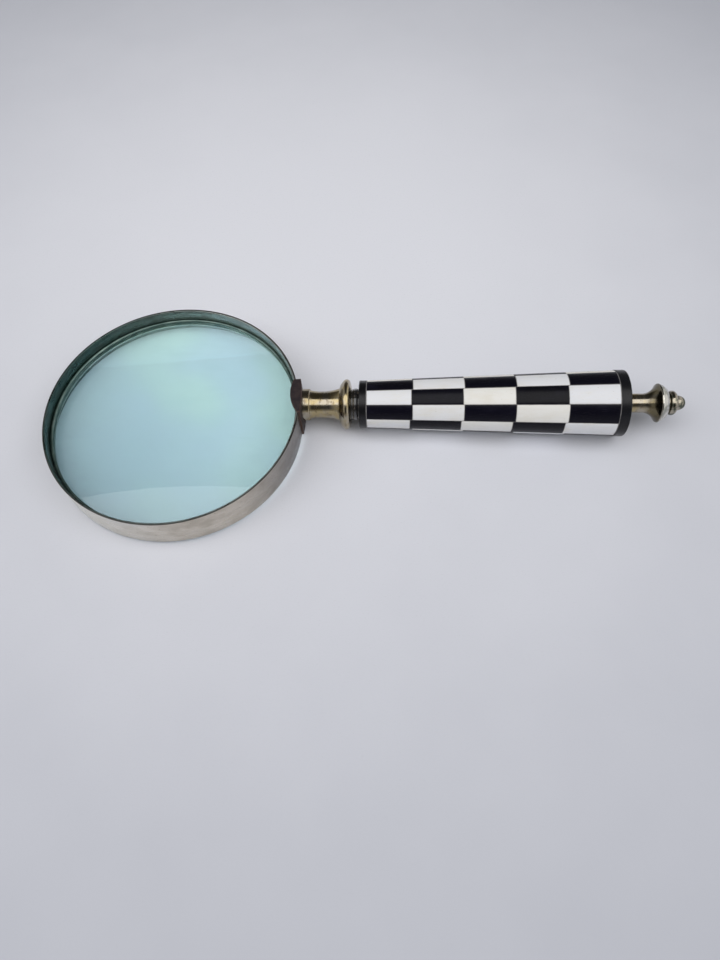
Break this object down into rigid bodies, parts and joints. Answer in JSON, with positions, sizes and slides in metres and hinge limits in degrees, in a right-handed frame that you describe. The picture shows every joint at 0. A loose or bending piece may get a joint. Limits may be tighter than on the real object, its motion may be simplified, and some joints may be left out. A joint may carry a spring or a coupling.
{
  "type": "magnifying glass",
  "caption": "Hand magnifying glass: round biconvex lens in a plated band on a turned metal neck, with a tapered black and white inlaid grip and a screw-on finial.",
  "frame": {"origin": "centre of the lens, on its optical axis and in the middle plane of the rim band", "axes": "+Z is the optical axis, towards the reader; +X runs along the handle, whose axis is parallel to X at Y = +6.7 mm; the handle lies in the lens's middle plane"},
  "size_m": [0.26, 0.104, 0.027],
  "materials": {
    "nickel_plate": "nickel-plated strip, satin with fine draw lines and light tarnish",
    "lens_glass": "polished, pale aqua",
    "dark_brass": "blackened brass",
    "oxidised_bronze": "dark oxidised brown-black, matt",
    "threaded_steel": "bright rolled thread",
    "worn_nickel_brass": "polished nickel worn through to yellow brass",
    "black_collar": "glossy black lacquer over metal",
    "black_horn": "polished black resin",
    "core_wood": "plain turned hardwood",
    "white_bone": "polished off-white bone",
    "black_horn_tile": "polished black horn"
  },
  "bodies": {
    "glass": {"rim_band": "nickel_plate", "lens": "lens_glass", "lens_seat_ring": "dark_brass", "retaining_wire_ring": "dark_brass", "saddle_clip": "oxidised_bronze", "tie_rod": "threaded_steel", "neck_ferrule": "worn_nickel_brass", "collar_ring": "black_collar", "front_end_ring": "black_horn", "rear_end_ring": "black_horn", "grip_core": "core_wood", "course_1_white_tiles": "white_bone", "course_1_black_tiles": "black_horn_tile", "course_2_white_tiles": "white_bone", "course_2_black_tiles": "black_horn_tile", "course_3_white_tiles": "white_bone", "course_3_black_tiles": "black_horn_tile", "course_4_white_tiles": "white_bone", "course_4_black_tiles": "black_horn_tile", "course_5_white_tiles": "white_bone", "course_5_black_tiles": "black_horn_tile"},
    "finial_washer": {"finial_washer": "worn_nickel_brass"},
    "finial": {"finial": "worn_nickel_brass"}
  },
  "joints": [
    {"name": "finial_travel", "type": "slide", "parent": "glass", "child": "finial_washer", "axis": [1, 0, 0], "range_m": [0, 0.0036]},
    {"name": "finial_turn", "type": "hinge", "parent": "finial_washer", "child": "finial", "pos_m": [0.1835, 0.0067, 0], "axis": [1, 0, 0], "range_deg": [0, 1800]}
  ],
  "couplings": [
    {"joint": "finial_travel", "follows": "finial_turn", "m_per_rad": 0.00011141}
  ]
}
